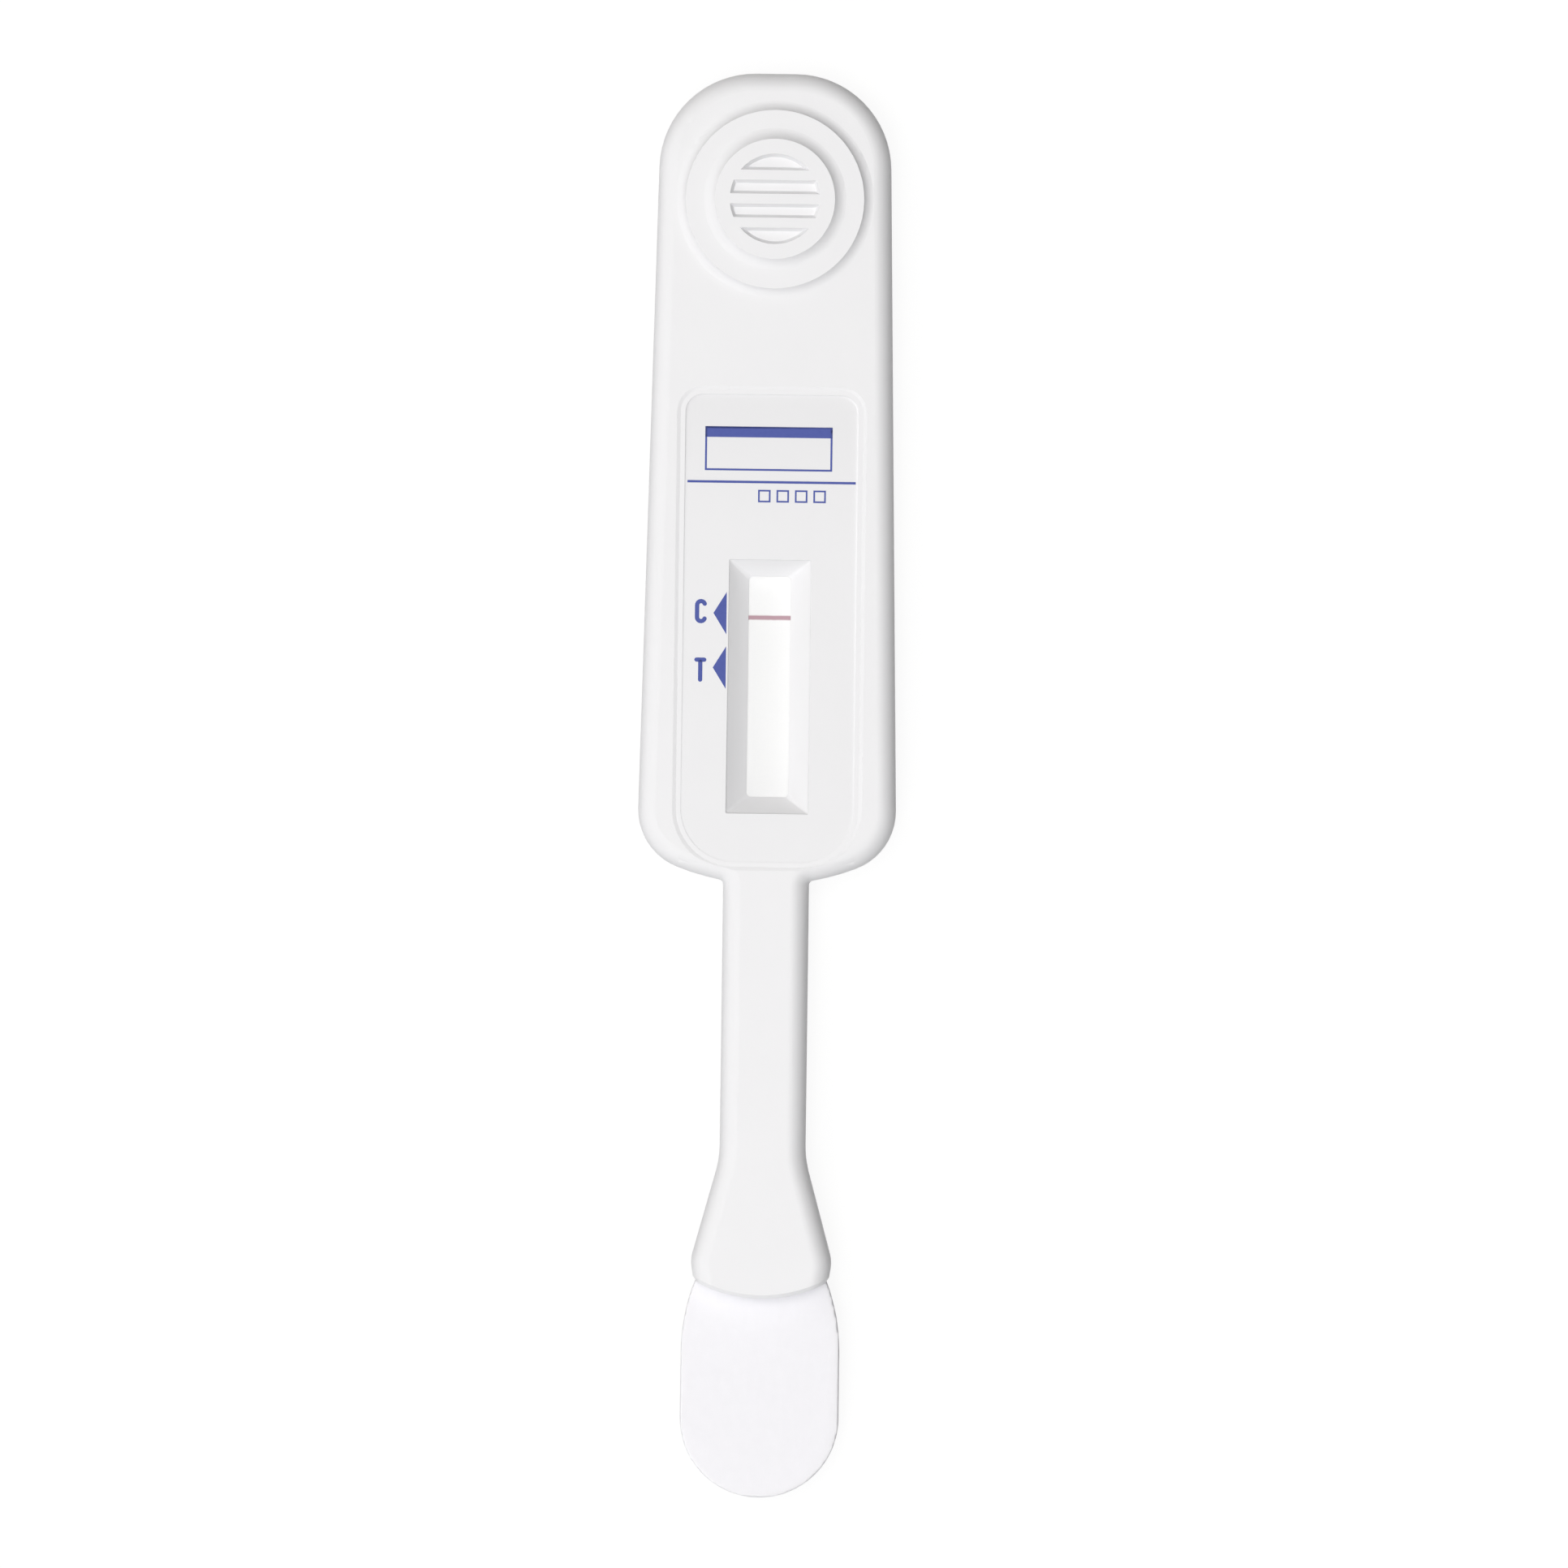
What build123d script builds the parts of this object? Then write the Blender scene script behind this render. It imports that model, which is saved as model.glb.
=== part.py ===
from build123d import *

import os
from math import atan2, degrees

# A rapid test stick for oral fluid, in millimetres. X runs across it, Y along it from the pad to
# the thumb grip, and Z up out of its printed face. It lies on its flat back, with the origin under
# the middle of its length.

# Lengths along the stick, from the grip end to the tip of the pad
housing_length = 68.3
stem_length = 23.1
flare_length = 8.6
collar_side_length = 1.6
collar_end_bulge = 1.5
pad_reach = 16.9

# Plan of the casing
housing_top_width = 19.25
housing_end_width = 21.87
housing_end_bulge = 3.1
shoulder_radius = 8.1
housing_corner_radius = 5.2
stem_clearance = 0.325
stem_root_radius = 0.4
flare_radius = 8.0
collar_width = 11.95
collar_shoulder_radius = 3.0
collar_end_width = 11.4

# Walls and edges of the two moulded halves
wall = 1.3
draft_angle = 1.0
front_edge_radius = 1.5
back_edge_chamfer = 0.8
lip_chamfer = 0.3
seam_chamfer = 0.08

# Thumb grip: a disc and a smaller button on it, each with a hollow flank, and a ribbed pocket
grip_from_top = 10.7
grip_disc_radius = 7.5
grip_disc_step = 0.5
grip_disc_cove = 0.8
grip_button_radius = 5.05
grip_button_step = 0.5
grip_button_cove = 0.95
grip_pocket_radius = 3.8
grip_pocket_depth = 0.45
grip_pocket_taper = 30.0
grip_rib_width = 0.85
grip_rib_pitch = 2.0
grip_rib_count = 3

# Shallow panel with a gently sloped wall, and a field in its floor that is deeper towards the grip
panel_end_margin = 1.18
panel_side_margin = 1.645
panel_grip_gap = 7.4
panel_depth = 0.07
panel_corner_radius = 2.2
panel_end_corner_radius = 5.2
panel_wall_run = 0.3
field_inset = 0.4
field_drop = 0.15
field_end_drop = 0.04
field_corner_radius = 1.5

# Result window: a bevelled funnel that stops just above the strip
window_end_gap = 4.74
window_length = 18.6
window_corner_radius = 0.4
window_side_run = 1.77
window_end_run = 1.45
window_mouth_corner_radius = 0.1
window_wall = 0.8

# Test strip
strip_width = 4.0
card_thickness = 0.3
membrane_thickness = 0.2
membrane_side_lap = 0.22
membrane_low_lap = 3.0
membrane_high_lap = 4.4
conjugate_length = 7.0
conjugate_thickness = 0.4
conjugate_overlap = 1.5
blocker_length = 9.0
blocker_thickness = 0.45
blocker_overlap = 1.0
wick_end_from_top = 15.93
absorbent_thickness = 0.8
absorbent_overlap = 1.5
drape_length = 0.4

# Collection pad
pad_width = 13.4
pad_thickness = 1.0
pad_bed_height = 1.1
pad_mouth_margin = 0.18
pad_neck_drop = 1.55
pad_neck_radius = 3.0
pad_shoulder_radius = 16.6
tail_overlap = 2.7
tail_end_gap = 0.2

# Six-sided press-fit pins and their sockets, measured to the corners
pin_sides = 6
pin_radius = 0.75
pin_length = 1.4
boss_radius = 1.6
boss_wall_gap = 0.52
pin_top_margin = 14.1
pin_end_margin = 9.0
pin_row_count = 3

# Ribs and posts inside the halves
rib_thickness = 0.8
stem_rib_count = 4
stem_rib_gap = 1.2
flare_rib_inset = 1.2
flare_rib_pitch = 2.8
flare_rib_count = 2
bed_rails_apart = 2.4
guide_post_length = 1.6
guide_post_end_margin = 5.77
guide_post_count = 6
hold_down_inset = 2.0
hold_down_count = 4

# Clearances
pin_clearance = 0.05
strip_clearance = 0.05
strip_headroom = 0.2
guide_clearance = 0.15
tail_clearance = 0.2
slot_clearance = 0.1

# Widths, radii and angles that follow from their neighbours
stem_width = strip_width + 2 * (stem_clearance + wall)
tail_width = stem_width - 2 * (wall + tail_clearance)
panel_width = housing_top_width - 2 * panel_side_margin
panel_wall_taper = degrees(atan2(panel_wall_run, panel_depth))
field_margin = panel_wall_run + field_inset
field_end_corner_radius = panel_end_corner_radius - field_margin
window_width = strip_width - 2 * membrane_side_lap
window_mouth_width = window_width + 2 * window_side_run
window_mouth_length = window_length + 2 * window_end_run
guide_posts_apart = strip_width + 2 * guide_clearance + rib_thickness
pin_columns_apart = housing_top_width - 2 * (wall + boss_wall_gap + boss_radius)

# Stations along Y, from the grip end down
stick_length = (
    housing_length + stem_length + flare_length + collar_side_length + collar_end_bulge + pad_reach
)
top_y = stick_length / 2
grip_y = top_y - grip_from_top
housing_end_y = top_y - housing_length
housing_corner_y = housing_end_y + housing_end_bulge
flare_y = housing_end_y - stem_length
collar_shoulder_y = flare_y - flare_length
collar_corner_y = collar_shoulder_y - collar_side_length
collar_end_y = collar_corner_y - collar_end_bulge
pad_tip_y = collar_end_y - pad_reach
panel_end_y = housing_end_y + panel_end_margin
panel_top_y = grip_y - grip_disc_radius - grip_disc_cove - panel_grip_gap
panel_length = panel_top_y - panel_end_y
field_top_y = panel_top_y - field_margin
field_length = panel_length - 2 * field_margin
window_y = panel_end_y + window_end_gap + window_mouth_length / 2
pin_high_y = top_y - pin_top_margin
pin_low_y = housing_end_y + pin_end_margin
guide_post_low_y = housing_end_y + guide_post_end_margin

# Stations of the strip
membrane_low_y = window_y - window_length / 2 - membrane_low_lap
membrane_high_y = window_y + window_length / 2 + membrane_high_lap
conjugate_high_y = membrane_low_y + conjugate_overlap
conjugate_low_y = conjugate_high_y - conjugate_length
blocker_high_y = conjugate_low_y + blocker_overlap
blocker_low_y = blocker_high_y - blocker_length
tail_end_y = blocker_low_y + tail_overlap
card_low_y = tail_end_y + tail_end_gap
absorbent_low_y = membrane_high_y - absorbent_overlap
card_high_y = top_y - wick_end_from_top
stem_rib_y = blocker_low_y - stem_rib_gap
guide_post_high_y = card_high_y - guide_post_length
hold_down_low_y = membrane_high_y + hold_down_inset
hold_down_high_y = card_high_y - hold_down_inset

# Pitches of the rows
pin_rows_apart = (pin_high_y - pin_low_y) / (pin_row_count - 1)
guide_post_pitch = (guide_post_high_y - guide_post_low_y) / (guide_post_count - 1)
hold_down_pitch = (hold_down_high_y - hold_down_low_y) / (hold_down_count - 1)
stem_rib_pitch = (stem_rib_y - flare_y) / (stem_rib_count - 1)

# Heights above the flat back
floor_z = wall
pad_bottom_z = floor_z + pad_bed_height
pad_top_z = pad_bottom_z + pad_thickness
seam_z = (pad_bottom_z + pad_top_z) / 2
card_top_z = pad_top_z - conjugate_thickness
card_bottom_z = card_top_z - card_thickness
membrane_top_z = card_top_z + membrane_thickness
absorbent_top_z = card_top_z + absorbent_thickness
window_bottom_z = membrane_top_z + strip_clearance
guide_post_top_z = membrane_top_z - strip_clearance
ceiling_z = membrane_top_z + absorbent_thickness + strip_headroom
raised_ceiling_z = ceiling_z + grip_disc_step
face_z = ceiling_z + wall
panel_z = face_z - panel_depth
disc_z = face_z + grip_disc_step
button_z = disc_z + grip_button_step

# Length by which the collar's blank runs on, to be trimmed once its long edges are rounded
run_out = 6.0

# Distance within which a vertex counts as being at a place
vertex_reach = 0.01


def vertices_near(plan, y):
    """Vertices of a plan at the station y."""
    return plan.vertices().filter_by_position(Axis.Y, y - vertex_reach, y + vertex_reach)


def housing_plan():
    """Slightly tapered paddle with round shoulders and a bulged lower end."""
    half_top = housing_top_width / 2
    half_end = housing_end_width / 2
    with BuildSketch() as plan:
        with BuildLine():
            sides = Polyline(
                (half_end, housing_corner_y),
                (half_top, top_y),
                (-half_top, top_y),
                (-half_end, housing_corner_y),
            )
            ThreePointArc(sides @ 1, (0, housing_end_y), sides @ 0)
        make_face()
        fillet(plan.vertices().group_by(Axis.Y)[-1], radius=shoulder_radius)
        fillet(plan.vertices().group_by(Axis.Y)[0], radius=housing_corner_radius)
    return plan.sketch


def stem_plan():
    """Stem and flared collar, run on past the collar's end."""
    stem_half = stem_width / 2
    collar_half = collar_width / 2
    side_lean = (collar_half - collar_end_width / 2) / collar_side_length
    run_out_half = collar_half - side_lean * run_out
    with BuildSketch() as plan:
        with BuildLine():
            right = Polyline(
                (0, housing_corner_y),
                (stem_half, housing_corner_y),
                (stem_half, flare_y),
                (collar_half, collar_shoulder_y),
                (run_out_half, collar_shoulder_y - run_out),
                (0, collar_shoulder_y - run_out),
            )
            mirror(right, about=Plane.YZ)
        make_face()
        fillet(vertices_near(plan, flare_y), radius=flare_radius)
        fillet(vertices_near(plan, collar_shoulder_y), radius=collar_shoulder_radius)
    return plan.sketch


def casing_plan():
    """Housing, stem and collar as one outline, with a small radius where the stem leaves the housing."""
    root_x = stem_width / 2 + vertex_reach
    with BuildSketch() as plan:
        add(housing_plan())
        add(stem_plan())
        end_vertices = plan.vertices().filter_by_position(Axis.Y, housing_end_y, housing_corner_y)
        roots = end_vertices.filter_by_position(Axis.X, -root_x, root_x)
        fillet(roots, radius=stem_root_radius)
    return plan.sketch


def end_trim_plan():
    """Everything beyond the bowed end of the collar."""
    half = collar_end_width / 2
    with BuildSketch() as plan:
        with BuildLine():
            bow = ThreePointArc((half, collar_corner_y), (0, collar_end_y), (-half, collar_corner_y))
            Polyline(
                bow @ 1,
                (-collar_width, collar_corner_y),
                (-collar_width, collar_end_y - run_out),
                (collar_width, collar_end_y - run_out),
                (collar_width, collar_corner_y),
                bow @ 0,
            )
        make_face()
    return plan.sketch


def cavity_plan():
    """Hollow inside either half: the casing's plan drawn in by one wall."""
    with BuildSketch() as plan:
        add(casing_plan())
        add(end_trim_plan(), mode=Mode.SUBTRACT)
        offset(amount=-wall, kind=Kind.INTERSECTION)
    return plan.sketch


def pad_plan():
    """Collection pad: round head, long shoulders that pass through the collar's mouth, narrow tail."""
    head_half = pad_width / 2
    tail_half = tail_width / 2
    mouth_half = collar_end_width / 2 - pad_mouth_margin
    neck_y = flare_y - pad_neck_drop
    spread = (mouth_half - tail_half) / (neck_y - collar_corner_y)
    shoulder_y = neck_y - (head_half - tail_half) / spread
    with BuildSketch() as plan:
        with BuildLine():
            right = Polyline(
                (0, tail_end_y),
                (tail_half, tail_end_y),
                (tail_half, neck_y),
                (head_half, shoulder_y),
                (head_half, pad_tip_y + head_half),
            )
            mirror(right, about=Plane.YZ)
            ThreePointArc(right @ 1, (0, pad_tip_y), (-head_half, pad_tip_y + head_half))
        make_face()
        fillet(vertices_near(plan, neck_y), radius=pad_neck_radius)
        fillet(vertices_near(plan, shoulder_y), radius=pad_shoulder_radius)
    return plan.sketch


def flare_width(drop):
    """Outer width of the flare at a distance below its start."""
    return stem_width + (collar_width - stem_width) * drop / flare_length


def cross_rib_plan():
    """Ribs across the stem and the flare, between which the pad's tail is held."""
    with BuildSketch() as plan:
        with Locations((0, (stem_rib_y + flare_y) / 2)):
            with GridLocations(0, stem_rib_pitch, 1, stem_rib_count):
                Rectangle(stem_width - wall, rib_thickness)
        for index in range(flare_rib_count):
            drop = flare_length - flare_rib_inset - index * flare_rib_pitch
            with Locations((0, flare_y - drop)):
                Rectangle(flare_width(drop) - wall, rib_thickness)
    return plan.sketch


def pin_plan(radius):
    """Grid of polygons at the pins."""
    with BuildSketch() as plan:
        with Locations((0, (pin_low_y + pin_high_y) / 2)):
            with GridLocations(pin_columns_apart, pin_rows_apart, 2, pin_row_count):
                RegularPolygon(radius, pin_sides)
    return plan.sketch


def draped_profile(underside, thickness):
    """Side profile of a soft pad whose underside follows the given (y, z) points."""
    upper_side = [(y, z + thickness) for y, z in reversed(underside)]
    with BuildSketch() as profile:
        with BuildLine():
            Polyline(*underside, *upper_side, close=True)
        make_face()
    return profile.sketch


def casing_blank(depth, soften, edge_size):
    """Solid outer form of one half, from the seam up or down by depth, its outer edge softened."""
    pull = Vector(0, 0, depth).normalized()
    outward = Axis((0, 0, seam_z), pull)
    with BuildPart() as blank:
        with BuildSketch(Plane.XY.offset(seam_z)):
            add(casing_plan())
        extrude(amount=depth)
        sides = blank.faces().sort_by(outward)[1:-1]
        draft(sides, neutral_plane=Plane((0, 0, seam_z), z_dir=pull), angle=draft_angle)
        outer_face = blank.faces().sort_by(outward)[-1]
        soften(outer_face.edges().sort_by(Axis.Y)[1:], edge_size)
        with BuildSketch(Plane.XY.offset(seam_z)):
            add(end_trim_plan())
        extrude(amount=depth, mode=Mode.SUBTRACT)
        end_face = blank.faces().sort_by(Axis.Y)[0]
        chamfer(end_face.edges().sort_by(outward)[1:], length=lip_chamfer)
        seam_face = blank.faces().sort_by(outward)[0]
        chamfer(seam_face.edges(), length=seam_chamfer)
    return blank.part


def window_funnel(grow):
    """Four-sided bevel from the panel down to the strip, grown all round by grow."""
    with BuildPart() as funnel:
        with BuildSketch(Plane((0, window_y, window_bottom_z))):
            RectangleRounded(window_width + 2 * grow, window_length + 2 * grow, window_corner_radius)
        with BuildSketch(Plane((0, window_y, panel_z))):
            RectangleRounded(
                window_mouth_width + 2 * grow, window_mouth_length + 2 * grow, window_mouth_corner_radius
            )
        loft(ruled=True)
    return funnel.part


def pad_slot():
    """Space that the collection pad takes in the collar, with its clearance."""
    with BuildPart() as slot:
        with BuildSketch(Plane.XY.offset(pad_bottom_z)):
            add(pad_plan())
            offset(amount=slot_clearance)
        extrude(amount=pad_thickness)
    return slot.part


# Forms that the two halves start from, or have cut out of them
front_blank = casing_blank(face_z - seam_z, fillet, front_edge_radius)
rear_blank = casing_blank(-seam_z, chamfer, back_edge_chamfer)
window_chimney = window_funnel(window_wall)
window_bevel = window_funnel(0)
pad_space = pad_slot()

# Front half, with the thumb grip, the panel and the result window
with BuildPart() as front_shell:
    add(front_blank)

    # Stepped grip, turned about its own upright axis
    with BuildSketch(Plane((0, grip_y, 0), x_dir=(1, 0, 0), z_dir=(0, -1, 0))):
        with BuildLine():
            disc_foot = (grip_disc_radius + grip_disc_cove, face_z)
            disc_flank = TangentArc(disc_foot, (grip_disc_radius, disc_z), tangent=(-1, 0))
            button_foot = (grip_button_radius + grip_button_cove, disc_z)
            Line(disc_flank @ 1, button_foot)
            button_flank = TangentArc(button_foot, (grip_button_radius, button_z), tangent=(-1, 0))
            Polyline(button_flank @ 1, (0, button_z), (0, face_z), disc_foot)
        make_face()
    revolve(axis=Axis((0, grip_y, 0), (0, 0, 1)))

    # Pocket in the button, crossed by ribs
    with BuildSketch(Plane((0, grip_y, button_z))):
        Circle(grip_pocket_radius)
        with GridLocations(0, grip_rib_pitch, 1, grip_rib_count):
            Rectangle(2 * grip_pocket_radius, grip_rib_width, mode=Mode.SUBTRACT)
    extrude(amount=-grip_pocket_depth, taper=grip_pocket_taper, mode=Mode.SUBTRACT)

    # Hollow, also under the raised grip
    with BuildSketch(Plane.XY.offset(seam_z)):
        add(cavity_plan())
    extrude(amount=ceiling_z - seam_z, mode=Mode.SUBTRACT)
    with BuildSketch(Plane((0, grip_y, ceiling_z))):
        Circle(grip_disc_radius - wall)
    extrude(amount=raised_ceiling_z - ceiling_z, mode=Mode.SUBTRACT)

    # Ribs that hold down the wick and the pad's tail
    with BuildSketch(Plane.XY.offset(absorbent_top_z + strip_clearance)):
        with Locations((0, (hold_down_low_y + hold_down_high_y) / 2)):
            with GridLocations(0, hold_down_pitch, 1, hold_down_count):
                Rectangle(strip_width, rib_thickness)
    extrude(amount=raised_ceiling_z - absorbent_top_z - strip_clearance)
    with BuildSketch(Plane.XY.offset(pad_top_z + strip_clearance)):
        add(cross_rib_plan())
    extrude(amount=ceiling_z - pad_top_z)

    # Pins, rooted in the wall above the hollow
    with BuildSketch(Plane.XY.offset(seam_z - pin_length)):
        add(pin_plan(pin_radius))
    extrude(amount=raised_ceiling_z - seam_z + pin_length)

    # Walls round the window, from the strip up to the panel
    add(window_chimney)

    # Panel, with small corners at the grip and large ones at the stem
    with BuildSketch(Plane((0, panel_end_y + panel_length / 2, face_z))) as panel:
        Rectangle(panel_width, panel_length)
        fillet(panel.vertices().group_by(Axis.Y)[-1], radius=panel_corner_radius)
        fillet(panel.vertices().group_by(Axis.Y)[0], radius=panel_end_corner_radius)
    extrude(amount=-panel_depth, taper=panel_wall_taper, mode=Mode.SUBTRACT)

    # Field, cut by a floor of its own that drops towards the grip
    field_plane = Plane(
        (0, field_top_y, panel_z - field_drop),
        x_dir=(1, 0, 0),
        z_dir=(0, field_drop - field_end_drop, field_length),
    )
    with BuildSketch(field_plane) as field:
        Rectangle(panel_width - 2 * field_margin, field_length, align=(Align.CENTER, Align.MAX))
        fillet(field.vertices().group_by(Axis.Y)[-1], radius=field_corner_radius)
        fillet(field.vertices().group_by(Axis.Y)[0], radius=field_end_corner_radius)
    extrude(amount=panel_depth + field_drop, mode=Mode.SUBTRACT)

    add(window_bevel, mode=Mode.SUBTRACT)
    add(pad_space, mode=Mode.SUBTRACT)

# Rear half, with the strip's bed and the sockets
with BuildPart() as rear_shell:
    add(rear_blank)
    with BuildSketch(Plane.XY.offset(floor_z)):
        add(cavity_plan())
    extrude(amount=seam_z - floor_z, mode=Mode.SUBTRACT)

    # Two rails under the card, posts beside it and a stop at its end
    with BuildSketch(Plane((0, (card_low_y + card_high_y) / 2, floor_z))):
        with GridLocations(bed_rails_apart, 0, 2, 1):
            Rectangle(rib_thickness, card_high_y - card_low_y)
    extrude(amount=card_bottom_z - floor_z)
    with BuildSketch(Plane.XY.offset(floor_z)):
        with Locations((0, (guide_post_low_y + guide_post_high_y) / 2)):
            with GridLocations(guide_posts_apart, guide_post_pitch, 2, guide_post_count):
                Rectangle(rib_thickness, guide_post_length)
        with Locations((0, card_high_y + guide_clearance)):
            Rectangle(strip_width, rib_thickness, align=(Align.CENTER, Align.MIN))
    extrude(amount=guide_post_top_z - floor_z)

    # Sockets for the pins
    with BuildSketch(Plane.XY.offset(floor_z)):
        add(pin_plan(boss_radius))
    extrude(amount=seam_z - floor_z)
    with BuildSketch(Plane.XY.offset(seam_z)):
        add(pin_plan(pin_radius + pin_clearance))
    extrude(amount=floor_z - seam_z, mode=Mode.SUBTRACT)

    # Ribs under the pad's tail
    with BuildSketch(Plane.XY.offset(floor_z)):
        add(cross_rib_plan())
    extrude(amount=pad_bed_height)

    add(pad_space, mode=Mode.SUBTRACT)

# Collection pad
with BuildPart() as collection_pad:
    with BuildSketch(Plane.XY.offset(pad_bottom_z)):
        add(pad_plan())
    extrude(amount=pad_thickness)

# Plastic card under the strip
with BuildPart() as backing_card:
    with BuildSketch(Plane((0, (card_low_y + card_high_y) / 2, card_bottom_z))):
        Rectangle(strip_width, card_high_y - card_low_y)
    extrude(amount=card_thickness)

# Membrane that shows in the window
with BuildPart() as reaction_membrane:
    with BuildSketch(Plane((0, (membrane_low_y + membrane_high_y) / 2, card_top_z))):
        Rectangle(strip_width, membrane_high_y - membrane_low_y)
    extrude(amount=membrane_thickness)

# Conjugate pad, from the card up onto the membrane's lower end
with BuildPart() as conjugate_pad:
    with BuildSketch(Plane.YZ):
        add(
            draped_profile(
                [
                    (conjugate_low_y, card_top_z),
                    (membrane_low_y - drape_length, card_top_z),
                    (membrane_low_y, membrane_top_z),
                    (conjugate_high_y, membrane_top_z),
                ],
                conjugate_thickness,
            )
        )
    extrude(amount=strip_width / 2, both=True)

# Blocker pad, a bridge from the top of the tail over the card to the top of the conjugate pad
with BuildPart() as blocker_pad:
    with BuildSketch(Plane.YZ):
        add(
            draped_profile(
                [
                    (blocker_low_y, pad_top_z),
                    (tail_end_y, pad_top_z),
                    (tail_end_y + drape_length, card_top_z),
                    (conjugate_low_y - drape_length, card_top_z),
                    (conjugate_low_y, pad_top_z),
                    (blocker_high_y, pad_top_z),
                ],
                blocker_thickness,
            )
        )
    extrude(amount=strip_width / 2, both=True)

# Wick, from the membrane's upper end down onto the card
with BuildPart() as absorbent_pad:
    with BuildSketch(Plane.YZ):
        add(
            draped_profile(
                [
                    (absorbent_low_y, membrane_top_z),
                    (membrane_high_y, membrane_top_z),
                    (membrane_high_y + drape_length, card_top_z),
                    (card_high_y, card_top_z),
                ],
                absorbent_thickness,
            )
        )
    extrude(amount=strip_width / 2, both=True)

front_shell.part.label = "front_shell"
rear_shell.part.label = "rear_shell"
collection_pad.part.label = "collection_pad"
backing_card.part.label = "backing_card"
reaction_membrane.part.label = "reaction_membrane"
conjugate_pad.part.label = "conjugate_pad"
blocker_pad.part.label = "blocker_pad"
absorbent_pad.part.label = "absorbent_pad"

os.makedirs("parts", exist_ok=True)
export_step(front_shell.part, "parts/front_shell.step")
export_step(rear_shell.part, "parts/rear_shell.step")
export_step(collection_pad.part, "parts/collection_pad.step")
export_step(backing_card.part, "parts/backing_card.step")
export_step(reaction_membrane.part, "parts/reaction_membrane.step")
export_step(conjugate_pad.part, "parts/conjugate_pad.step")
export_step(blocker_pad.part, "parts/blocker_pad.step")
export_step(absorbent_pad.part, "parts/absorbent_pad.step")
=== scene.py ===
import math

import bmesh
import bpy
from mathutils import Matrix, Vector, noise
from mathutils.bvhtree import BVHTree


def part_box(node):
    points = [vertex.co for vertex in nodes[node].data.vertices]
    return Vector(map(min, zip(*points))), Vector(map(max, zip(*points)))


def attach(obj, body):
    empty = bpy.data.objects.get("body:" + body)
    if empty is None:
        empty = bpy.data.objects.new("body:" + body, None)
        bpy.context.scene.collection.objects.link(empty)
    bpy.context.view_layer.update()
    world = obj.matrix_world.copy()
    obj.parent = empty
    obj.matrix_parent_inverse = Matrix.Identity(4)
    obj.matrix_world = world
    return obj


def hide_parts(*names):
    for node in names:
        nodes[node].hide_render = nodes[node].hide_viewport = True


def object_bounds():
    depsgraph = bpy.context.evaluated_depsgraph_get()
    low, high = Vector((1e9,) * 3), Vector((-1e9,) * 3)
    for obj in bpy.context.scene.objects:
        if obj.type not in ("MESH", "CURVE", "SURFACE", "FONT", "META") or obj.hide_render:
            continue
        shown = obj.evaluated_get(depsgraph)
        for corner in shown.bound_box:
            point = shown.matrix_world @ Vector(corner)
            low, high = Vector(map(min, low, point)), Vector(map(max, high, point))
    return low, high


# Looks of an oral-fluid test stick: satin white casing, blue print on its panel, a membrane with one
# pink line and a pressed fibre pad. The scene is in metres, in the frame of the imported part. Patterns
# and print are laid out in millimetres, and noise scales are in turns per millimetre.

MM = 0.001

# Photograph: its frame, what lies at its middle, and how far the stick leans in it
FRAME_WIDTH = 132.2 * MM
FRAME_MIDDLE = (1.4 * MM, 0.2 * MM)
FRAME_ROLL = math.radians(0.75)
LENS = 200.0
SENSOR = 36.0
CLIP_START = 0.01

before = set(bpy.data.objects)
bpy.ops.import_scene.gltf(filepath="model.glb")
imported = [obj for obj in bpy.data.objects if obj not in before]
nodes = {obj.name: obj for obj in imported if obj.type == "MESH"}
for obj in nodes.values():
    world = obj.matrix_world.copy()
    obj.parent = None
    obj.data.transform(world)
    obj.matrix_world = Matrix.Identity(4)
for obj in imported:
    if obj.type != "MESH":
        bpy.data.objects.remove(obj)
cad_low, cad_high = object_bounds()


# Node helpers

def new_material(name):
    """New node material, its tree and its Principled shader."""
    material = bpy.data.materials.new(name)
    material.use_nodes = True
    tree = material.node_tree
    return material, tree, tree.nodes["Principled BSDF"]


def set_inputs(tree, node, inputs):
    """Sets inputs given by name or number, each to a value or by a link from a socket."""
    for key, value in inputs.items():
        socket = node.inputs[key]
        if isinstance(value, bpy.types.NodeSocket):
            tree.links.new(value, socket)
        else:
            socket.default_value = value


def add_node(tree, kind, inputs=None, **settings):
    """New node with its settings and inputs."""
    node = tree.nodes.new(kind)
    for key, value in settings.items():
        setattr(node, key, value)
    set_inputs(tree, node, inputs or {})
    return node


def object_position(tree, stretch=(1.0, 1.0, 1.0)):
    """Object coordinates in millimetres, on which a pattern is drawn out by stretch along each axis."""
    place = add_node(tree, "ShaderNodeTexCoord").outputs["Object"]
    scale = [1 / (MM * factor) for factor in stretch]
    return add_node(tree, "ShaderNodeMapping", {"Vector": place, "Scale": scale}).outputs["Vector"]


def noise_value(tree, vector, scale, detail=3.0, roughness=0.5):
    """Noise between 0 and 1."""
    made = add_node(
        tree,
        "ShaderNodeTexNoise",
        {"Vector": vector, "Scale": scale, "Detail": detail, "Roughness": roughness},
    )
    return made.outputs["Fac"]


def arithmetic(tree, operation, *values):
    """Result of a math node on sockets or numbers."""
    made = add_node(tree, "ShaderNodeMath", dict(enumerate(values)), operation=operation)
    return made.outputs[0]


def product(tree, first, second):
    """Product of two sockets or numbers."""
    return arithmetic(tree, "MULTIPLY", first, second)


def between(tree, factor, low, high):
    """Number that runs from low to high as factor runs from 0 to 1."""
    made = add_node(tree, "ShaderNodeMapRange", {"Value": factor, "To Min": low, "To Max": high})
    return made.outputs["Result"]


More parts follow.
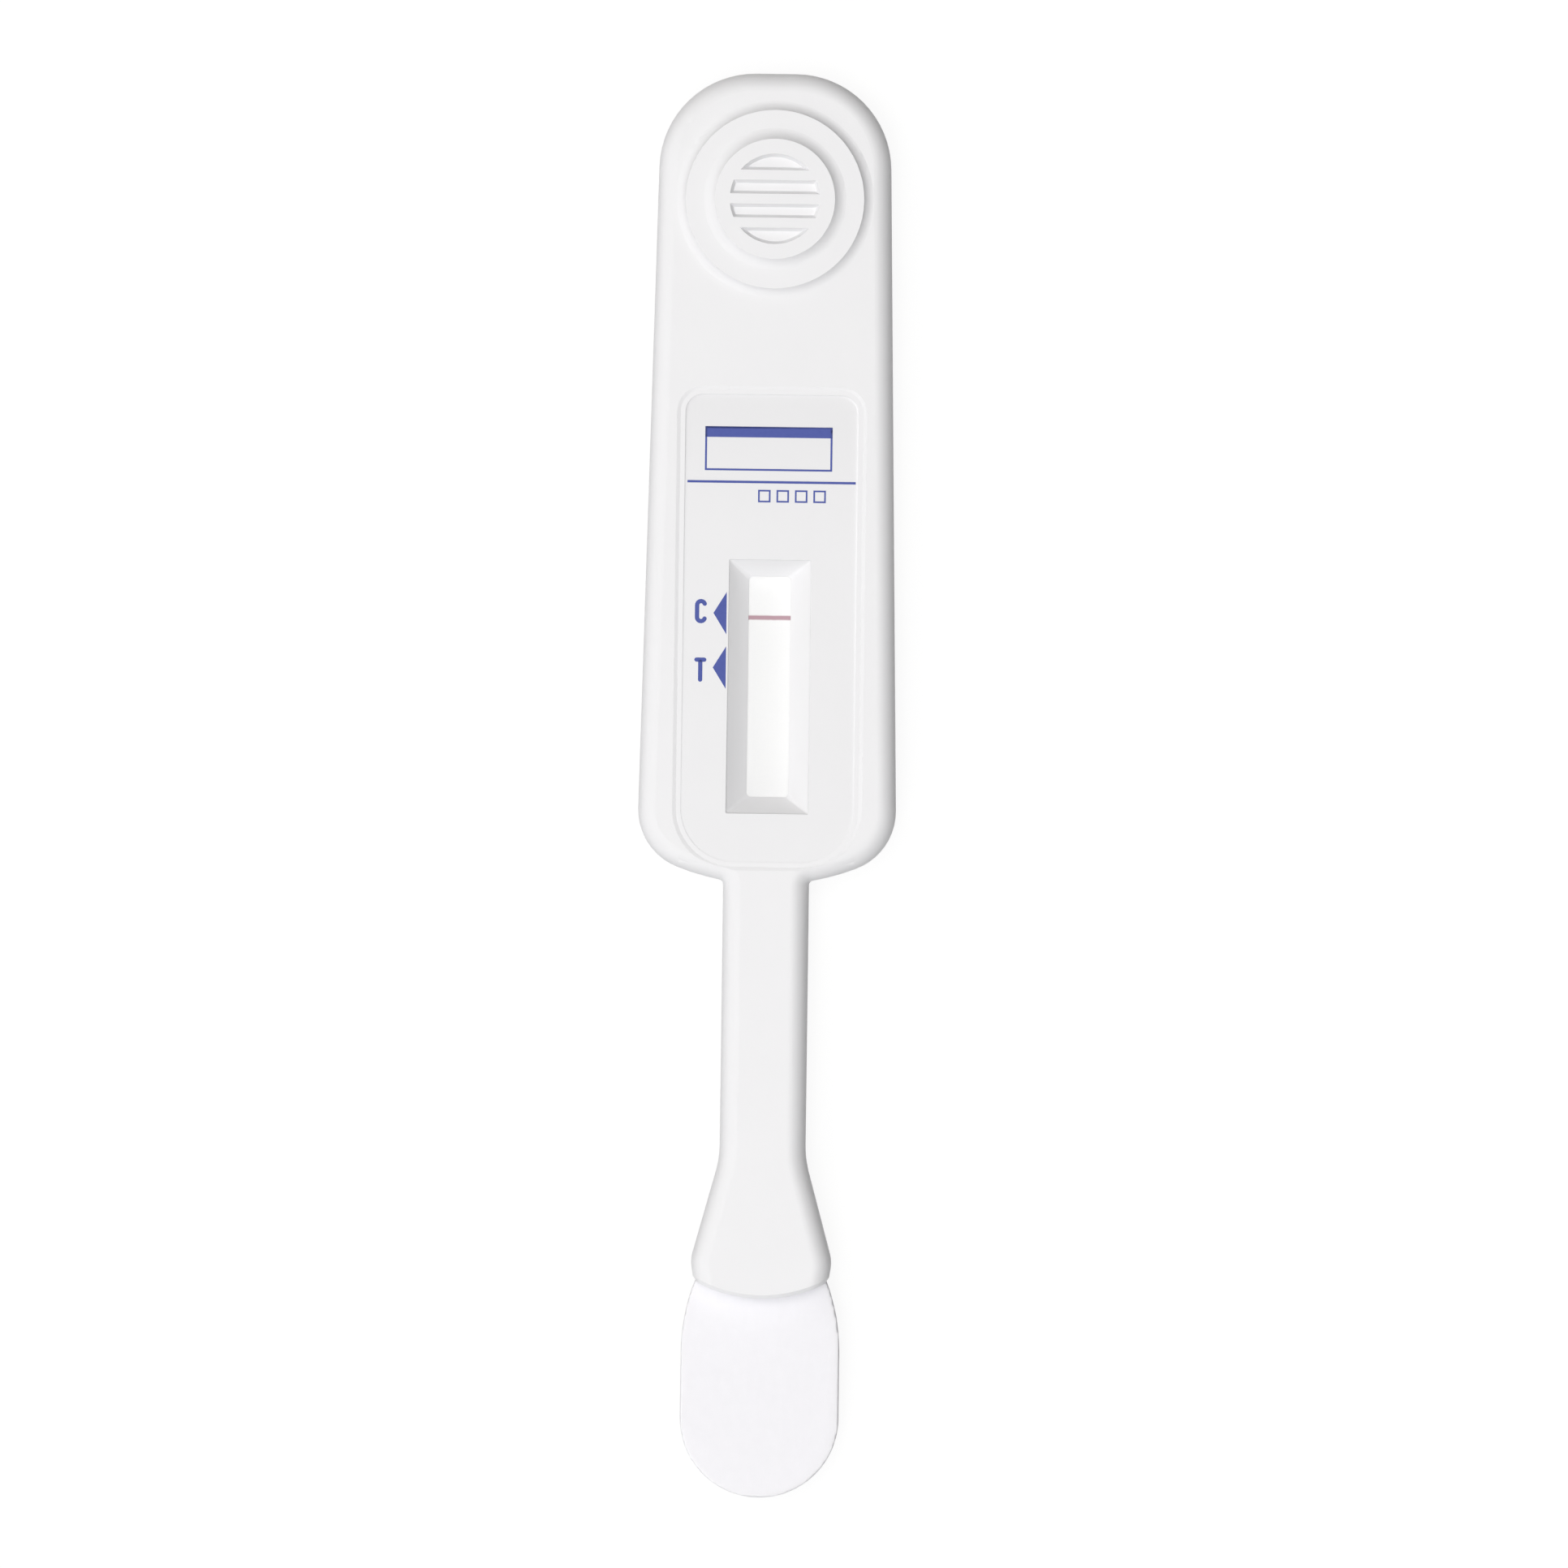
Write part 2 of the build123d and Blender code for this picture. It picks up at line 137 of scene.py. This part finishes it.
def ramp(tree, value, start, end):
    """0 before start and 1 past end, eased between them, where start may be the larger."""
    made = add_node(
        tree,
        "ShaderNodeMapRange",
        {"Value": value, "From Min": start, "From Max": end},
        interpolation_type="SMOOTHSTEP",
    )
    return made.outputs["Result"]


def colour_between(tree, factor, low, high):
    """Colour that runs from low to high as factor runs from 0 to 1, each a triple or a socket."""
    low, high = [
        end if isinstance(end, bpy.types.NodeSocket) else (*end, 1.0) for end in (low, high)
    ]
    made = add_node(
        tree, "ShaderNodeMix", {"Factor": factor, "A": low, "B": high}, data_type="RGBA"
    )
    return made.outputs["Result"]


def add_bump(tree, height, strength, distance):
    """Bump normal from a height, with distance in metres."""
    made = add_node(
        tree,
        "ShaderNodeBump",
        {"Height": height, "Strength": strength, "Distance": distance},
    )
    return made.outputs["Normal"]


# Moulded plastic
CLOUD_SCALE = 0.22
GRAIN_SCALE = 9.0
WAVE_SCALE = 0.6
ROUGHNESS_SPREAD = 0.05
MOULD_RELIEF = 0.012 * MM


def moulded_plastic(name, light, shade, roughness):
    """Satin white polystyrene with a fine eroded mould finish and faint cloudiness."""
    material, tree, shader = new_material(name)
    place = object_position(tree)
    cloud = noise_value(tree, place, CLOUD_SCALE, detail=4.0)
    grain = noise_value(tree, place, GRAIN_SCALE, detail=2.0)
    waviness = noise_value(tree, place, WAVE_SCALE, detail=1.0)
    fine = arithmetic(tree, "ADD", grain, waviness)
    smoothest, roughest = roughness - ROUGHNESS_SPREAD, roughness + ROUGHNESS_SPREAD
    set_inputs(tree, shader, {
        "Base Color": colour_between(tree, cloud, shade, light),
        "Roughness": between(tree, grain, smoothest, roughest),
        "Specular IOR Level": 0.35,
        "Normal": add_bump(tree, fine, strength=0.35, distance=MOULD_RELIEF),
    })
    return material


# Field sunk into the panel: heights of the panel and of the field's shallow and deep ends, its half
# width and ends, and how fast it fades past them. The walls of the window funnel start below it.
PANEL_HEIGHT = 5.43
FIELD_HEIGHT = 5.40
FIELD_DEEP_HEIGHT = 5.28
FIELD_HALF = 7.3
FIELD_LOW = -6.4
FIELD_HIGH = 32.9
FIELD_FADE = 0.2
DEEP_FADE = 0.035
FUNNEL_HEIGHT = 5.26
FUNNEL_FADE = 0.04
# Tone of the field, painted shade darkening its deep end, and how far the funnel walls' normals lean up
FIELD_TONE = 0.98
DEEP_SHADE_TONE = 0.968
FUNNEL_SOFTNESS = 0.45


def tone_panel(material):
    """Dulls the panel's field, darkens its deep end with painted shade, softens the thin funnel walls.
    """
    tree = material.node_tree
    shader = tree.nodes["Principled BSDF"]
    plain = shader.inputs["Base Color"].links[0].from_socket
    bump = shader.inputs["Normal"].links[0].from_node
    place = add_node(tree, "ShaderNodeSeparateXYZ", {"Vector": object_position(tree)}).outputs
    across, along, height = arithmetic(tree, "ABSOLUTE", place["X"]), place["Y"], place["Z"]

    panel = ramp(tree, across, FIELD_HALF + FIELD_FADE, FIELD_HALF)
    panel = product(tree, panel, ramp(tree, along, FIELD_LOW - FIELD_FADE, FIELD_LOW))
    panel = product(tree, panel, ramp(tree, along, FIELD_HIGH + FIELD_FADE, FIELD_HIGH))
    below_field = ramp(tree, height, FUNNEL_HEIGHT, FUNNEL_HEIGHT - FUNNEL_FADE)
    above_funnel = between(tree, below_field, 1.0, 0.0)
    below_panel = ramp(tree, height, PANEL_HEIGHT, FIELD_HEIGHT)
    field = product(tree, panel, product(tree, above_funnel, below_panel))
    # Painted shade: the field's deepest end is darkened further, by height
    deepest = ramp(tree, height, FIELD_DEEP_HEIGHT + DEEP_FADE, FIELD_DEEP_HEIGHT)
    deep_shade_mask = product(tree, field, deepest)

    field_tone = between(tree, field, 1.0, FIELD_TONE)
    tone_and_shade = product(tree, field_tone, between(tree, deep_shade_mask, 1.0, DEEP_SHADE_TONE))
    dulled_and_shaded = add_node(tree, "ShaderNodeVectorMath", {0: plain, "Scale": tone_and_shade}, operation="SCALE")
    tree.links.new(dulled_and_shaded.outputs["Vector"], shader.inputs["Base Color"])

    lean = product(tree, product(tree, panel, below_field), FUNNEL_SOFTNESS)
    facing = add_node(tree, "ShaderNodeNewGeometry").outputs["Normal"]
    leaning = colour_between(tree, lean, facing, (0.0, 0.0, 1.0))
    softened = add_node(tree, "ShaderNodeVectorMath", {0: leaning}, operation="NORMALIZE")
    tree.links.new(softened.outputs["Vector"], bump.inputs["Normal"])


# Fibre
STRAND_SCALE = 3.2
FLOCK_SCALE = 0.9
FIBRE_SPREAD = 0.8 * MM


def fibre(name, light, shade, stretch, depth, translucency=0.0):
    """Matted fibre: stretched strands over coarse flocks, and light that spreads within them."""
    material, tree, shader = new_material(name)
    drawn_out = object_position(tree, stretch)
    strands = noise_value(tree, drawn_out, STRAND_SCALE, detail=5.0, roughness=0.65)
    flocks = noise_value(tree, object_position(tree), FLOCK_SCALE, detail=4.0, roughness=0.6)
    relief = product(tree, strands, flocks)
    set_inputs(tree, shader, {
        "Base Color": colour_between(tree, flocks, shade, light),
        "Roughness": 0.95,
        "Specular IOR Level": 0.2,
        "Subsurface Weight": translucency,
        "Subsurface Radius": (1.0, 1.0, 1.0),
        "Subsurface Scale": FIBRE_SPREAD,
        "Normal": add_bump(tree, relief, strength=0.5, distance=depth),
    })
    return material


# Membrane, with the line across it
PORE_SCALE = 6.0
PORE_TONE = 0.97
PORE_RELIEF = 0.01 * MM
LINE_STATION = 14.2
LINE_WIDTH = 0.36
LINE_FADE = 0.16
LINE_WANDER = 0.06
WANDER_SCALE = 1.6


def line_mask(tree):
    """1 on the line, whose place wanders a little, and 0 off it."""
    place = object_position(tree)
    wander = noise_value(tree, place, WANDER_SCALE, detail=2.0)
    along = add_node(tree, "ShaderNodeSeparateXYZ", {"Vector": place}).outputs["Y"]
    shifted = arithmetic(tree, "MULTIPLY_ADD", wander, LINE_WANDER, along)
    offset = arithmetic(tree, "SUBTRACT", shifted, LINE_STATION + LINE_WANDER / 2)
    distance = arithmetic(tree, "ABSOLUTE", offset)
    return ramp(tree, distance, (LINE_WIDTH + LINE_FADE) / 2, (LINE_WIDTH - LINE_FADE) / 2)


def membrane_material(name, plain, line):
    """Smooth nitrocellulose with one coloured line across it."""
    material, tree, shader = new_material(name)
    pores = noise_value(tree, object_position(tree), PORE_SCALE, detail=3.0)
    pale = colour_between(tree, pores, [PORE_TONE * part for part in plain], plain)
    set_inputs(tree, shader, {
        "Base Color": colour_between(tree, line_mask(tree), pale, line),
        "Roughness": 0.75,
        "Specular IOR Level": 0.3,
        "Normal": add_bump(tree, pores, strength=0.2, distance=PORE_RELIEF),
    })
    return material


# Ink
COVER_SCALE = 2.4
COVER_RELIEF = 0.006 * MM


def ink_material(name, dense, thin):
    """Pad-printed ink, a little uneven in cover."""
    material, tree, shader = new_material(name)
    cover = noise_value(tree, object_position(tree), COVER_SCALE, detail=4.0, roughness=0.6)
    set_inputs(tree, shader, {
        "Base Color": colour_between(tree, cover, dense, thin),
        "Roughness": 0.5,
        "Specular IOR Level": 0.3,
        "Normal": add_bump(tree, cover, strength=0.2, distance=COVER_RELIEF),
    })
    return material


# Film
ROLLING_SCALE = 2.0
ROLLING_STRETCH = (0.3, 6.0, 1.0)
ROLLING_TONE = 0.95


def film_material(name, colour):
    """Plain plastic film with faint rolling marks."""
    material, tree, shader = new_material(name)
    marks = noise_value(tree, object_position(tree, ROLLING_STRETCH), ROLLING_SCALE, detail=3.0)
    shade = [ROLLING_TONE * part for part in colour]
    set_inputs(tree, shader, {
        "Base Color": colour_between(tree, marks, shade, colour),
        "Roughness": 0.5,
    })
    return material


# Casing and strip
SHELL_LIGHT = (0.798, 0.798, 0.811)
SHELL_SHADE = (0.778, 0.778, 0.792)
front_plastic = moulded_plastic("front_plastic", SHELL_LIGHT, SHELL_SHADE, roughness=0.42)
tone_panel(front_plastic)
looks = {
    "front_shell": front_plastic,
    "rear_shell": moulded_plastic("rear_plastic", SHELL_LIGHT, SHELL_SHADE, roughness=0.46),
    "reaction_membrane": membrane_material(
        "membrane", (0.858, 0.862, 0.864), line=(0.452, 0.292, 0.335)
    ),
    "conjugate_pad": fibre(
        "glass_fibre", (0.78, 0.62, 0.66), (0.68, 0.50, 0.55), stretch=(1, 4, 1), depth=0.03 * MM
    ),
    "blocker_pad": fibre(
        "blocker_fibre", (0.84, 0.84, 0.80), (0.78, 0.78, 0.74), stretch=(1, 3, 1), depth=0.03 * MM
    ),
    "absorbent_pad": fibre(
        "wick_fibre", (0.86, 0.86, 0.84), (0.80, 0.80, 0.78), stretch=(1, 3, 1), depth=0.04 * MM
    ),
    "backing_card": film_material("card_film", (0.80, 0.80, 0.81)),
}
for node, material in looks.items():
    nodes[node].data.materials.clear()
    nodes[node].data.materials.append(material)

# Collection pad
PAD_VOXEL = 0.2 * MM
PAD_RELIEF = 0.03 * MM
FELT_SCALE = (1.3, 0.7, 1.0)
FELT_FALLOFF = 1.0
FELT_FINER = 2.0
FELT_OCTAVES = 4


def object_from(name, mesh, material):
    """New object of a mesh with one material."""
    made = bpy.data.objects.new(name, mesh)
    bpy.context.scene.collection.objects.link(made)
    made.data.materials.clear()
    made.data.materials.append(material)
    return made


def fibre_pad(node, material):
    """Pad of the same form as the node, with edges eased as a die leaves them and a felted surface."""
    pad = object_from("fibre_pad", nodes[node].data.copy(), material)
    remesh = pad.modifiers.new("voxels", "REMESH")
    remesh.mode = "VOXEL"
    remesh.voxel_size = PAD_VOXEL
    remesh.use_smooth_shade = True
    smooth = pad.modifiers.new("eased", "SMOOTH")
    smooth.factor = 0.5
    smooth.iterations = 1
    graph = bpy.context.evaluated_depsgraph_get()
    pad.data = bpy.data.meshes.new_from_object(pad.evaluated_get(graph))
    pad.modifiers.clear()
    for vertex in pad.data.vertices:
        place = Vector([part * scale for part, scale in zip(vertex.co / MM, FELT_SCALE)])
        felt = noise.fractal(place, FELT_FALLOFF, FELT_FINER, FELT_OCTAVES)
        vertex.co -= vertex.normal * PAD_RELIEF * (0.5 + 0.5 * felt)
    return pad


pad_felt = fibre(
    "pad_fibre",
    (0.892, 0.887, 0.920),
    (0.862, 0.857, 0.890),
    stretch=(1, 5, 1),
    depth=0.05 * MM,
    translucency=0.5,
)
pad = fibre_pad("collection_pad", pad_felt)
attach(pad, "root")
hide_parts("collection_pad")

# Print on the panel, as outlines in millimetres laid onto the casing
INK_HEIGHT = 0.02 * MM
INK_ROOT = 0.03 * MM
CAP_STEPS = 6
casing = nodes["front_shell"].data
casing_surface = BVHTree.FromPolygons(
    [vertex.co for vertex in casing.vertices], [face.vertices for face in casing.polygons]
)


def casing_height(x, y):
    """Height of the casing's printed side at a place in metres."""
    above = Vector((x, y, cad_high.z + MM))
    return casing_surface.ray_cast(above, Vector((0, 0, -1)))[0].z


def bar(low_x, low_y, high_x, high_y):
    """Outline of an upright rectangle."""
    return [(low_x, low_y), (high_x, low_y), (high_x, high_y), (low_x, high_y)]


def arc(middle, radius, start, end, steps=10):
    """Points along an arc, with its angles in degrees."""
    angles = [math.radians(start + (end - start) * step / steps) for step in range(steps + 1)]
    return [(middle[0] + radius * math.cos(a), middle[1] + radius * math.sin(a)) for a in angles]


def stroke(points, width):
    """Outline of a pen stroke along the points, with round ends."""
    left, right = [], []
    for index, (x, y) in enumerate(points):
        before = points[max(index - 1, 0)]
        after = points[min(index + 1, len(points) - 1)]
        heading = math.atan2(after[1] - before[1], after[0] - before[0])
        side = (-math.sin(heading) * width / 2, math.cos(heading) * width / 2)
        left.append((x + side[0], y + side[1]))
        right.append((x - side[0], y - side[1]))
    first = math.degrees(math.atan2(points[1][1] - points[0][1], points[1][0] - points[0][0]))
    last = math.degrees(math.atan2(points[-1][1] - points[-2][1], points[-1][0] - points[-2][0]))
    start_cap = arc(points[0], width / 2, first + 90, first + 270, CAP_STEPS)[1:-1]
    end_cap = arc(points[-1], width / 2, last + 90, last - 90, CAP_STEPS)[1:-1]
    return left + end_cap + right[::-1] + start_cap[::-1]


def frame_bars(low_x, low_y, high_x, high_y, width):
    """Four bars along the sides of a rectangle."""
    return [
        bar(low_x, low_y, high_x, low_y + width),
        bar(low_x, high_y - width, high_x, high_y),
        bar(low_x, low_y + width, low_x + width, high_y - width),
        bar(high_x - width, low_y + width, high_x, high_y - width),
    ]


def printed(name, outlines, material):
    """Ink laid on the casing: each outline follows its surface and stands a hair above it."""
    mesh = bpy.data.meshes.new(name)
    made = bmesh.new()
    for outline in outlines:
        places = [(x * MM, y * MM, casing_height(x * MM, y * MM)) for x, y in outline]
        low = [made.verts.new((x, y, z - INK_ROOT)) for x, y, z in places]
        high = [made.verts.new((x, y, z + INK_HEIGHT)) for x, y, z in places]
        made.faces.new(high)
        made.faces.new(low[::-1])
        for index in range(len(low)):
            following = (index + 1) % len(low)
            made.faces.new((low[index], low[following], high[following], high[index]))
    bmesh.ops.recalc_face_normals(made, faces=made.faces)
    made.to_mesh(mesh)
    made.free()
    piece = object_from(name, mesh, material)
    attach(piece, "root")


ink = ink_material("blue_ink", (0.040, 0.062, 0.285), (0.058, 0.085, 0.335))

# Pointers to the two reading places, with their letters
POINTER_BASE = -3.62
POINTER_TIP = -4.72
POINTER_HALF = 1.78
CONTROL_Y = 14.5
TEST_Y = 9.92
LETTER_X = -5.77
LETTER_C_Y = 14.64
LETTER_T_Y = 9.72
LETTER_HALF = 1.02
LETTER_REACH = 0.33
LETTER_OPENING = 20
PEN = 0.36


def pointer(y):
    """Triangle whose tip points away from the window."""
    return [(POINTER_BASE, y - POINTER_HALF), (POINTER_BASE, y + POINTER_HALF), (POINTER_TIP, y)]


def letter_c(x, y):
    """Narrow open bowl."""
    reach = LETTER_HALF - PEN / 2 - LETTER_REACH
    upper = arc((x, y + reach), LETTER_REACH, LETTER_OPENING, 180)
    lower = arc((x, y - reach), LETTER_REACH, 180, 360 - LETTER_OPENING)
    return [stroke(upper + lower, PEN)]


def letter_t(x, y):
    """Cap over an upright."""
    top = y + LETTER_HALF - PEN / 2
    return [
        stroke([(x - LETTER_REACH, top), (x + LETTER_REACH, top)], PEN),
        stroke([(x, top - PEN / 2), (x, y - LETTER_HALF + PEN / 2)], PEN),
    ]


printed("print_pointers", [pointer(CONTROL_Y), pointer(TEST_Y)], ink)
printed("print_letters", letter_c(LETTER_X, LETTER_C_Y) + letter_t(LETTER_X, LETTER_T_Y), ink)

# Rule across the field, a box to write in above it and boxes to tick below it
RULE_LEFT = -7.05
RULE_RIGHT = 7.1
RULE_Y = 25.55
RULE_WIDTH = 0.2
BOX_LEFT = -5.6
BOX_RIGHT = 5.1
BOX_LOW = 26.5
BOX_HIGH = 30.2
BOX_HEADER = 0.9
BOX_LINE = 0.16
TICK_RIGHT = 4.6
TICK_LOW = 23.85
TICK_SIZE = 1.05
TICK_PITCH = 1.55
TICK_LINE = 0.14
TICK_COUNT = 4

rule = [bar(RULE_LEFT, RULE_Y - RULE_WIDTH / 2, RULE_RIGHT, RULE_Y + RULE_WIDTH / 2)]
box_header = [bar(BOX_LEFT, BOX_HIGH - BOX_HEADER, BOX_RIGHT, BOX_HIGH)]
box_frame = frame_bars(BOX_LEFT, BOX_LOW, BOX_RIGHT, BOX_HIGH, BOX_LINE)
tick_boxes = []
for index in range(TICK_COUNT):
    left = TICK_RIGHT - TICK_SIZE - index * TICK_PITCH
    tick_boxes += frame_bars(left, TICK_LOW, left + TICK_SIZE, TICK_LOW + TICK_SIZE, TICK_LINE)

printed("print_rule", rule, ink)
printed("print_write_box", box_header + box_frame, ink)
printed("print_tick_boxes", tick_boxes, ink)


# Floor, which looks white to the camera and in gloss, keeps a faint shadow and throws little light back

def looked_at(tree):
    """1 where the camera, a reflection or clear material looks at the surface, else 0."""
    path = add_node(tree, "ShaderNodeLightPath").outputs
    either = arithmetic(tree, "MAXIMUM", path["Is Camera Ray"], path["Is Glossy Ray"])
    return arithmetic(tree, "MAXIMUM", either, path["Is Transmission Ray"])


def grey(value):
    """Neutral colour of that brightness."""
    return (value, value, value, 1.0)


FLOOR_HALF = 1.5
FLOOR_HEIGHT = -0.02 * MM
PAPER_TONE = 0.95
GLOW_STRENGTH = 1.04
GLOW_SHARE = 0.85
BOUNCE_TONE = 0.38
floor_mesh = bpy.data.meshes.new("floor")
floor_corners = bar(-FLOOR_HALF, -FLOOR_HALF, FLOOR_HALF, FLOOR_HALF)
floor_mesh.from_pydata([(x, y, FLOOR_HEIGHT) for x, y in floor_corners], [], [(0, 1, 2, 3)])
floor_material = bpy.data.materials.new("floor")
floor_material.use_nodes = True
floor_tree = floor_material.node_tree
floor_tree.nodes.clear()
paper = add_node(floor_tree, "ShaderNodeBsdfDiffuse", {"Color": grey(PAPER_TONE)})
glow = add_node(floor_tree, "ShaderNodeEmission", {"Color": grey(1.0), "Strength": GLOW_STRENGTH})
shadowed = add_node(
    floor_tree, "ShaderNodeMixShader", {0: GLOW_SHARE, 1: paper.outputs[0], 2: glow.outputs[0]}
)
dim = add_node(floor_tree, "ShaderNodeBsdfDiffuse", {"Color": grey(BOUNCE_TONE)})
both = add_node(
    floor_tree,
    "ShaderNodeMixShader",
    {0: looked_at(floor_tree), 1: dim.outputs[0], 2: shadowed.outputs[0]},
)
add_node(floor_tree, "ShaderNodeOutputMaterial", {"Surface": both.outputs[0]})
floor = object_from("floor", floor_mesh, floor_material)

# World, white where it is looked at and dim as a light
SURROUND_STRENGTH = 0.04
BACKDROP_STRENGTH = 1.0
world = bpy.data.worlds.new("studio")
bpy.context.scene.world = world
world.use_nodes = True
world_tree = world.node_tree
world_tree.nodes.clear()
surround, backdrop = [
    add_node(world_tree, "ShaderNodeBackground", {"Color": grey(1.0), "Strength": strength})
    for strength in (SURROUND_STRENGTH, BACKDROP_STRENGTH)
]
world_mix = add_node(
    world_tree,
    "ShaderNodeMixShader",
    {0: looked_at(world_tree), 1: surround.outputs[0], 2: backdrop.outputs[0]},
)
add_node(world_tree, "ShaderNodeOutputWorld", {"Surface": world_mix.outputs[0]})

# Soft studio light, mostly from above and the left
NEUTRAL = (1.0, 1.0, 1.0)
COOL = (0.985, 0.99, 1.0)
WARM = (1.0, 0.97, 0.93)


def softbox(name, place, size, power, tint):
    """Square area lamp that faces the middle of the stick."""
    lamp = bpy.data.lights.new(name, "AREA")
    lamp.shape = "SQUARE"
    lamp.size = size
    lamp.energy = power
    lamp.color = tint
    stand = bpy.data.objects.new(name, lamp)
    stand.location = place
    stand.rotation_euler = (-Vector(place)).to_track_quat("-Z", "Y").to_euler()
    bpy.context.scene.collection.objects.link(stand)


softbox("overhead", (0.0, -0.35, 1.10), size=0.7, power=5.1, tint=COOL)
softbox("overhead_back", (0.05, 0.30, 1.25), size=0.7, power=3.8, tint=WARM)
softbox("left_high", (-0.45, 0.0, 1.10), size=0.7, power=3.1, tint=NEUTRAL)
softbox("left", (-1.00, 0.10, 0.45), size=0.9, power=2.3, tint=NEUTRAL)
softbox("left_back", (-0.60, 0.50, 0.60), size=0.8, power=1.8, tint=WARM)
softbox("front", (-0.18, -0.72, 0.46), size=0.5, power=1.9, tint=NEUTRAL)

# Camera straight above, leaning with the photograph
camera_data = bpy.data.cameras.new("camera")
camera_data.lens = LENS
camera_data.sensor_width = SENSOR
camera_data.clip_start = CLIP_START
seam_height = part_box("rear_shell")[1].z
camera = bpy.data.objects.new("camera", camera_data)
camera.location = (*FRAME_MIDDLE, seam_height + FRAME_WIDTH * LENS / SENSOR)
camera.rotation_euler = (0, 0, FRAME_ROLL)
bpy.context.scene.collection.objects.link(camera)
bpy.context.scene.camera = camera

bpy.context.scene.view_settings.view_transform = "Standard"
